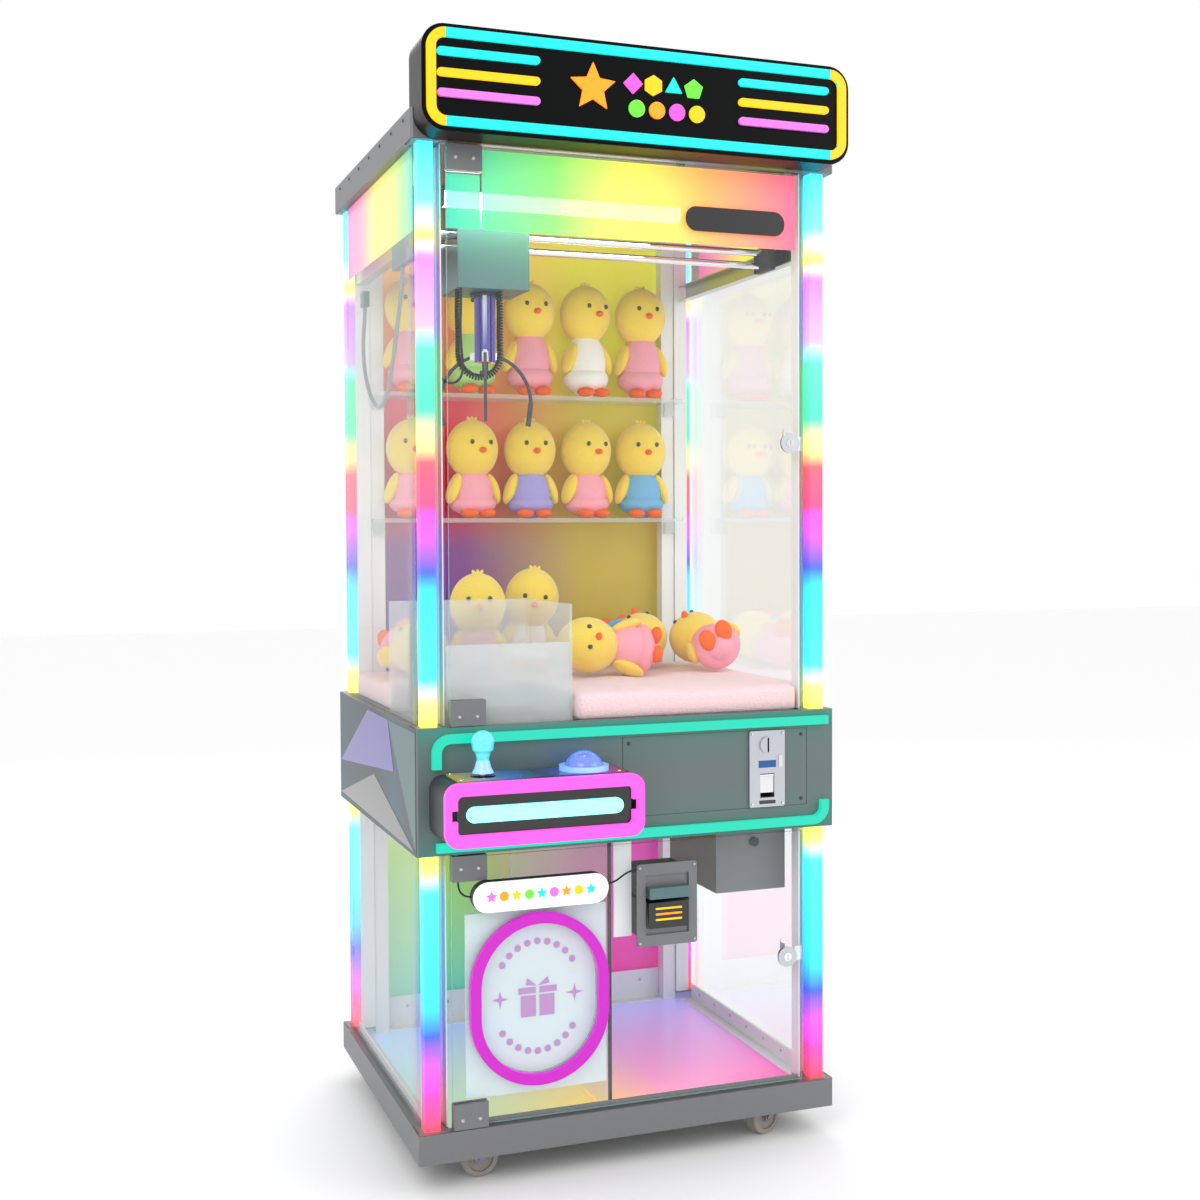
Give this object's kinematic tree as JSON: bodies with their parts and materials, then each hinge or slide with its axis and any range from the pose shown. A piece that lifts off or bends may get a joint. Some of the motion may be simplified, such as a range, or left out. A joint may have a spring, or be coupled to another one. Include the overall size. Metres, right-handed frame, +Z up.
{
  "type": "claw crane machine",
  "caption": "Upright claw crane prize machine: glass cabinet on castors with gantry crane, joystick console, coin and note inputs, prize chute and lit sign.",
  "frame": {"origin": "on the floor, centre of the footprint of cabinet and control box", "axes": "+Z up, front towards -Y, +X to the right seen from the front"},
  "size_m": [0.72, 0.712, 1.783],
  "materials": {
    "grey_steel": "satin powder coat",
    "fork_steel": "zinc plated",
    "wheel_rubber": "matt",
    "white_aluminium": "white powder coat",
    "led_light": "lit diffuser",
    "clear_acrylic": "clear",
    "tempered_glass": "clear",
    "printed_panel": "printed",
    "black_gloss": "gloss",
    "floor_board": "satin",
    "chrome": "polished",
    "knob_plastic": "glitter",
    "button_plastic": "gloss",
    "black_plastic": "matt",
    "magenta_light": "lit diffuser",
    "rail_steel": "satin",
    "teal_metal": "satin",
    "plush": "plush",
    "bed_fabric": "padded",
    "cable_grey": "satin",
    "cable_black": "satin"
  },
  "bodies": {
    "cabinet": {"base_tray": "grey_steel", "floor_panel": "floor_board", "inner_frame": "white_aluminium", "led_bars": "led_light", "post_covers": "clear_acrylic", "side_glass": "tempered_glass", "back_panels": "printed_panel", "console_shell": "grey_steel", "playfield_deck": "grey_steel", "console_neon": "led_light", "control_box": "grey_steel", "control_panels": "black_gloss", "coin_panel": "black_gloss", "coin_acceptor": "chrome", "top_frame": "grey_steel", "sign_box": "black_gloss", "sign_lights": "led_light", "cash_box": "grey_steel", "shelves": "clear_acrylic", "prize_chute": "clear_acrylic", "plush_bed": "bed_fabric", "lamp": "led_light", "gantry_rails": "rail_steel", "grey_cable": "cable_grey", "shelf_toys": "plush", "bed_toys": "plush", "electronics": "grey_steel"},
    "caster_1": {"caster_fork_1": "fork_steel"},
    "wheel_1": {"caster_wheel_1": "wheel_rubber"},
    "caster_2": {"caster_fork_2": "fork_steel"},
    "wheel_2": {"caster_wheel_2": "wheel_rubber"},
    "caster_3": {"caster_fork_3": "fork_steel"},
    "wheel_3": {"caster_wheel_3": "wheel_rubber"},
    "caster_4": {"caster_fork_4": "fork_steel"},
    "wheel_4": {"caster_wheel_4": "wheel_rubber"},
    "gantry": {"gantry_bridge": "rail_steel"},
    "trolley": {"trolley_box": "teal_metal", "black_cable": "cable_black", "claw_cable": "cable_black"},
    "claw": {"claw_head": "chrome"},
    "finger_1": {"claw_finger_1": "chrome"},
    "finger_2": {"claw_finger_2": "chrome"},
    "finger_3": {"claw_finger_3": "chrome"},
    "plunger": {"claw_plunger": "chrome"},
    "upper_door": {"upper_door_glass": "tempered_glass", "upper_door_fittings": "chrome"},
    "lower_door": {"lower_door_glass": "tempered_glass", "lower_door_fittings": "chrome", "prize_ring": "magenta_light", "pill_sign": "black_plastic", "bill_validator": "black_plastic", "sign_cables": "cable_black"},
    "upper_lock": {"upper_door_lock": "chrome"},
    "lower_lock": {"lower_door_lock": "chrome"},
    "prize_flap": {"prize_flap": "clear_acrylic"},
    "stick_gimbal": {"joystick_gimbal": "black_plastic"},
    "stick": {"joystick": "knob_plastic"},
    "button": {"push_button": "button_plastic"},
    "return_flap": {"coin_return_flap": "chrome"},
    "drawer": {"cash_drawer": "grey_steel"}
  },
  "joints": [
    {"name": "caster_swivel_1", "type": "hinge", "parent": "cabinet", "child": "caster_1", "pos_m": [-0.265, -0.2, 0.066], "axis": [0, 0, 1], "continuous": true},
    {"name": "wheel_roll_1", "type": "hinge", "parent": "caster_1", "child": "wheel_1", "pos_m": [-0.25, -0.2, 0.03], "axis": [0, -1, 0], "continuous": true},
    {"name": "caster_swivel_2", "type": "hinge", "parent": "cabinet", "child": "caster_2", "pos_m": [0.265, -0.2, 0.066], "axis": [0, 0, 1], "continuous": true},
    {"name": "wheel_roll_2", "type": "hinge", "parent": "caster_2", "child": "wheel_2", "pos_m": [0.2509, -0.20513, 0.03], "axis": [-0.342, 0.9397, 0], "continuous": true},
    {"name": "caster_swivel_3", "type": "hinge", "parent": "cabinet", "child": "caster_3", "pos_m": [-0.265, 0.3, 0.066], "axis": [0, 0, 1], "continuous": true},
    {"name": "wheel_roll_3", "type": "hinge", "parent": "caster_3", "child": "wheel_3", "pos_m": [-0.25051, 0.30388, 0.03], "axis": [0.2588, -0.9659, 0], "continuous": true},
    {"name": "caster_swivel_4", "type": "hinge", "parent": "cabinet", "child": "caster_4", "pos_m": [0.265, 0.3, 0.066], "axis": [0, 0, 1], "continuous": true},
    {"name": "wheel_roll_4", "type": "hinge", "parent": "caster_4", "child": "wheel_4", "pos_m": [0.25023, 0.30261, 0.03], "axis": [0.1736, 0.9848, 0], "continuous": true},
    {"name": "gantry_travel", "type": "slide", "parent": "cabinet", "child": "gantry", "axis": [0, 1, 0], "range_m": [0, 0.235]},
    {"name": "trolley_travel", "type": "slide", "parent": "gantry", "child": "trolley", "axis": [1, 0, 0], "range_m": [0, 0.4]},
    {"name": "claw_lift", "type": "slide", "parent": "trolley", "child": "claw", "axis": [0, 0, 1], "range_m": [-0.4, 0], "deforming": ["claw_cable"]},
    {"name": "finger_close_1", "type": "hinge", "parent": "claw", "child": "finger_1", "pos_m": [-0.20706, -0.12115, 1.317], "axis": [0.9613, -0.2756, 0], "range_deg": [0, 35]},
    {"name": "finger_close_2", "type": "hinge", "parent": "claw", "child": "finger_2", "pos_m": [-0.17965, -0.09468, 1.317], "axis": [-0.2419, 0.9703, 0], "range_deg": [0, 35]},
    {"name": "finger_close_3", "type": "hinge", "parent": "claw", "child": "finger_3", "pos_m": [-0.21628, -0.08417, 1.317], "axis": [-0.7193, -0.6947, 0], "range_deg": [0, 35]},
    {"name": "plunger_pull", "type": "slide", "parent": "claw", "child": "plunger", "axis": [0, 0, 1], "range_m": [0, 0.008]},
    {"name": "upper_door_hinge", "type": "hinge", "parent": "cabinet", "child": "upper_door", "pos_m": [-0.296, -0.247, 0.727], "axis": [0, 0, -1], "range_deg": [0, 105]},
    {"name": "lower_door_hinge", "type": "hinge", "parent": "cabinet", "child": "lower_door", "pos_m": [-0.296, -0.247, 0.096], "axis": [0, 0, -1], "range_deg": [0, 105]},
    {"name": "upper_lock_turn", "type": "hinge", "parent": "upper_door", "child": "upper_lock", "pos_m": [0.281, -0.25, 1.174], "axis": [0, 1, 0], "range_deg": [0, 90]},
    {"name": "lower_lock_turn", "type": "hinge", "parent": "lower_door", "child": "lower_lock", "pos_m": [0.275, -0.25, 0.312], "axis": [0, 1, 0], "range_deg": [0, 90]},
    {"name": "prize_flap_hinge", "type": "hinge", "parent": "lower_door", "child": "prize_flap", "pos_m": [-0.175, -0.238, 0.441], "axis": [1, 0, 0], "range_deg": [0, 70]},
    {"name": "joystick_fore_aft", "type": "hinge", "parent": "cabinet", "child": "stick_gimbal", "pos_m": [-0.268, -0.305, 0.64], "axis": [1, 0, 0], "range_deg": [-10, 10], "stiffness_Nm_per_rad": 1},
    {"name": "joystick_side", "type": "hinge", "parent": "stick_gimbal", "child": "stick", "pos_m": [-0.268, -0.305, 0.64], "axis": [0, 1, 0], "range_deg": [-10, 10], "stiffness_Nm_per_rad": 1},
    {"name": "button_press", "type": "slide", "parent": "cabinet", "child": "button", "axis": [0, 0, -1], "range_m": [0, 0.004], "stiffness_N_per_m": 300, "springref_m": -0.006},
    {"name": "return_flap_hinge", "type": "hinge", "parent": "cabinet", "child": "return_flap", "pos_m": [0.234, -0.258, 0.622], "axis": [1, 0, 0], "range_deg": [0, 40]},
    {"name": "cash_drawer_slide", "type": "slide", "parent": "cabinet", "child": "drawer", "axis": [0, -1, 0], "range_m": [0, 0.055]}
  ],
  "couplings": [
    {"joint": "finger_close_2", "follows": "finger_close_1", "ratio": 1},
    {"joint": "finger_close_3", "follows": "finger_close_1", "ratio": 1},
    {"joint": "plunger_pull", "follows": "finger_close_1", "m_per_rad": 0.013}
  ]
}
